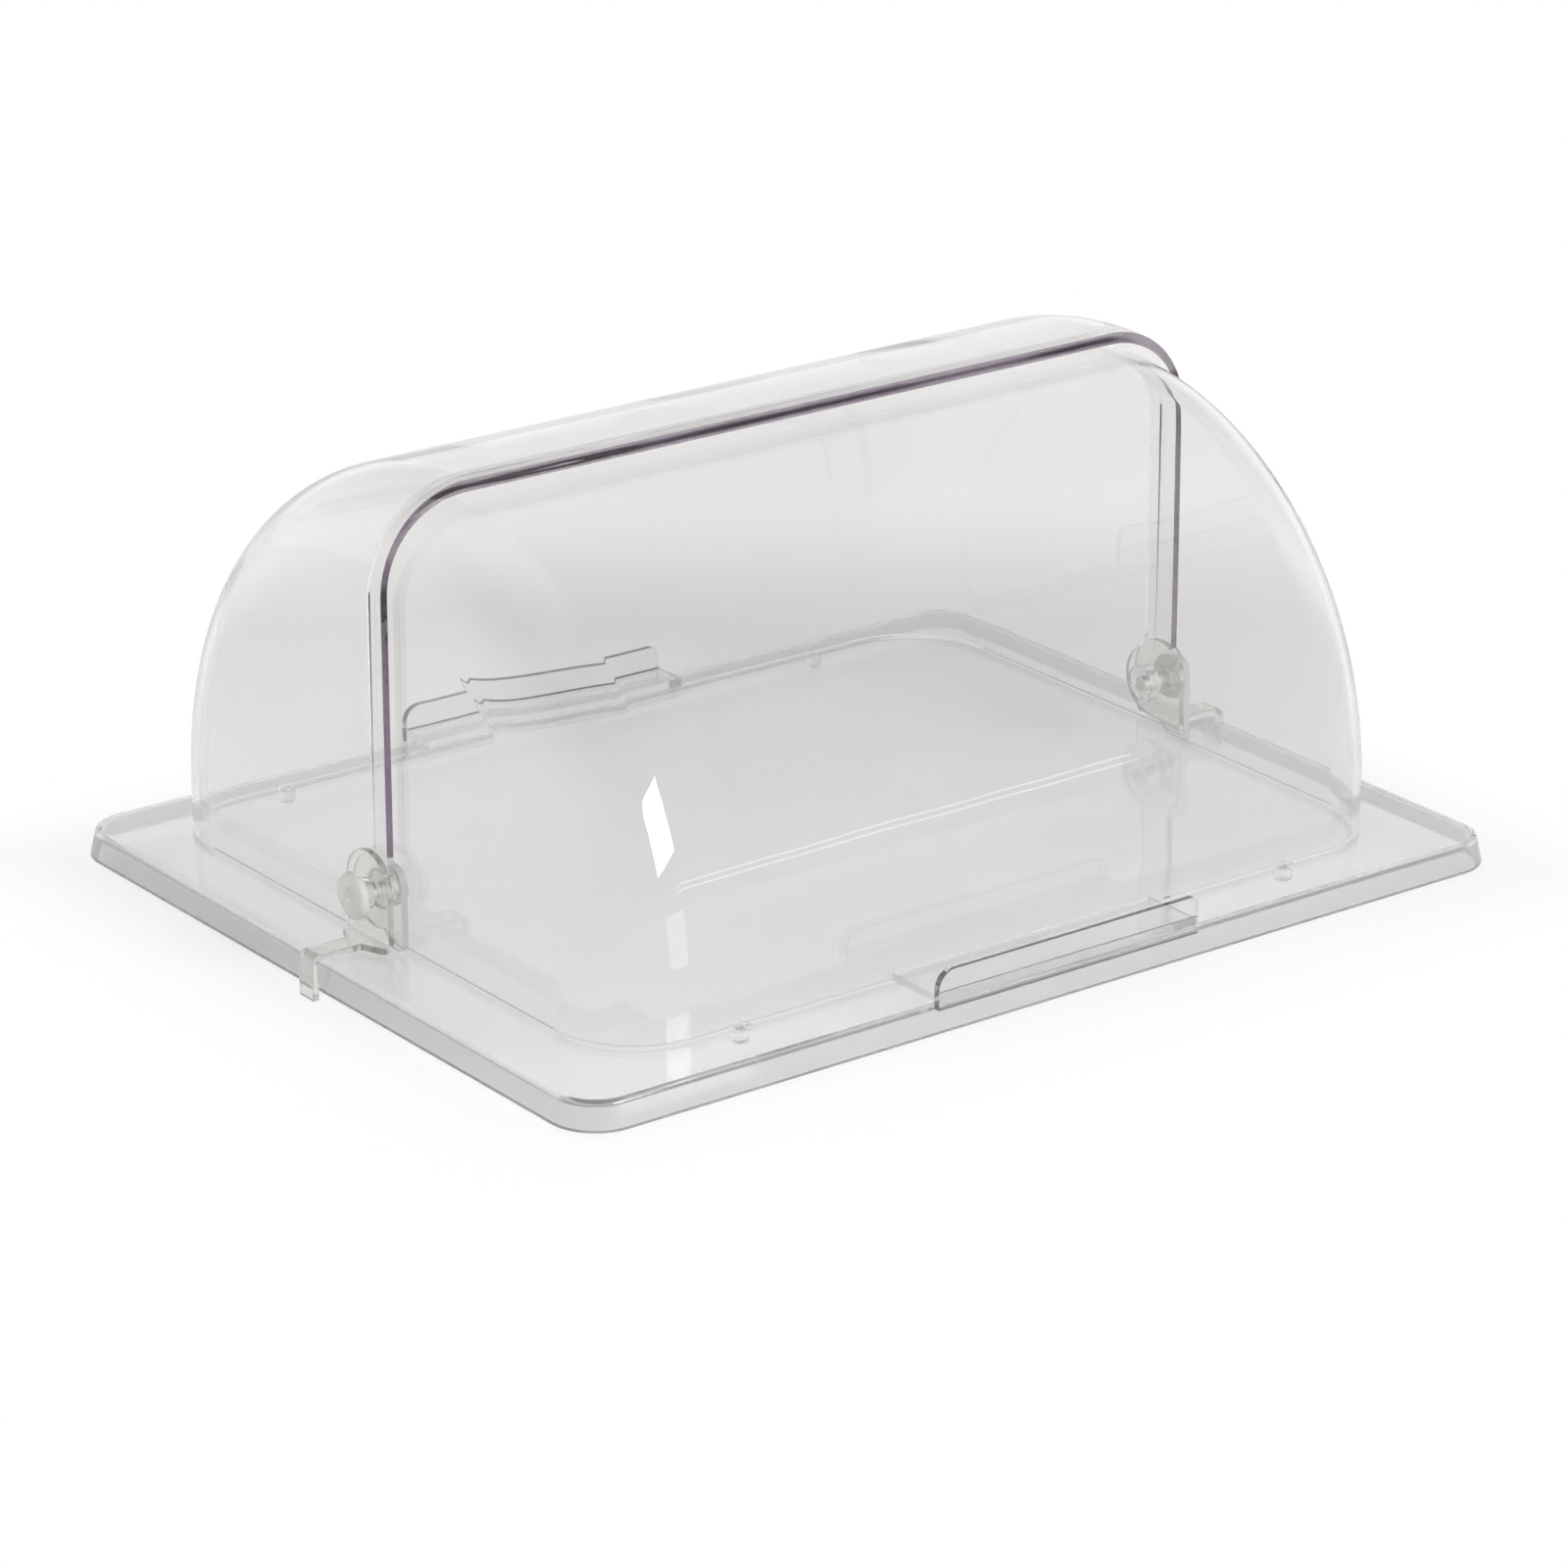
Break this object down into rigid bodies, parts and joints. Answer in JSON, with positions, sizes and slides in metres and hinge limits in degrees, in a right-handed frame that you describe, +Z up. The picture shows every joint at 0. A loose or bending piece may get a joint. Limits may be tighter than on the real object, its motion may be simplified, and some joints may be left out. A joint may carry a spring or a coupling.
{
  "type": "pastry cover",
  "caption": "Clear roll-top display cover for pastries: nested front and rear lids on pins, held by brackets that hook over the ends of a flat tray.",
  "frame": {"origin": "middle of the bounding box, at the lowest face, which is the end of the bracket hooks", "axes": "+X along the length to the right as seen from the front, +Y to the back, +Z up"},
  "size_m": [0.543, 0.4286, 0.234],
  "materials": {
    "clear_sheet": "clear colourless polycarbonate sheet, glossy, violet-grey where its edges are looked into",
    "clear_moulding": "clear moulded plastic, glossy",
    "frosted_plastic": "milky translucent plastic, satin"
  },
  "bodies": {
    "base": {"tray": "clear_sheet", "front_left_bumper": "clear_moulding", "front_right_bumper": "clear_moulding", "rear_left_bumper": "clear_moulding", "rear_right_bumper": "clear_moulding"},
    "cover": {"rear_lid": "clear_sheet", "rear_handle": "clear_sheet", "left_bracket": "clear_sheet", "right_bracket": "clear_sheet", "left_pin": "frosted_plastic", "right_pin": "frosted_plastic", "left_nut": "clear_moulding", "right_nut": "clear_moulding", "left_spacer": "clear_moulding", "right_spacer": "clear_moulding"},
    "front": {"front_lid": "clear_sheet", "front_handle": "clear_sheet"}
  },
  "joints": [
    {"name": "cover_lift", "type": "slide", "parent": "base", "child": "cover", "axis": [0, 0, 1], "range_m": [0, 0.25]},
    {"name": "front_lid_hinge", "type": "hinge", "parent": "cover", "child": "front", "pos_m": [0, 0, 0.0435], "axis": [-1, 0, 0], "range_deg": [0, 92]}
  ]
}
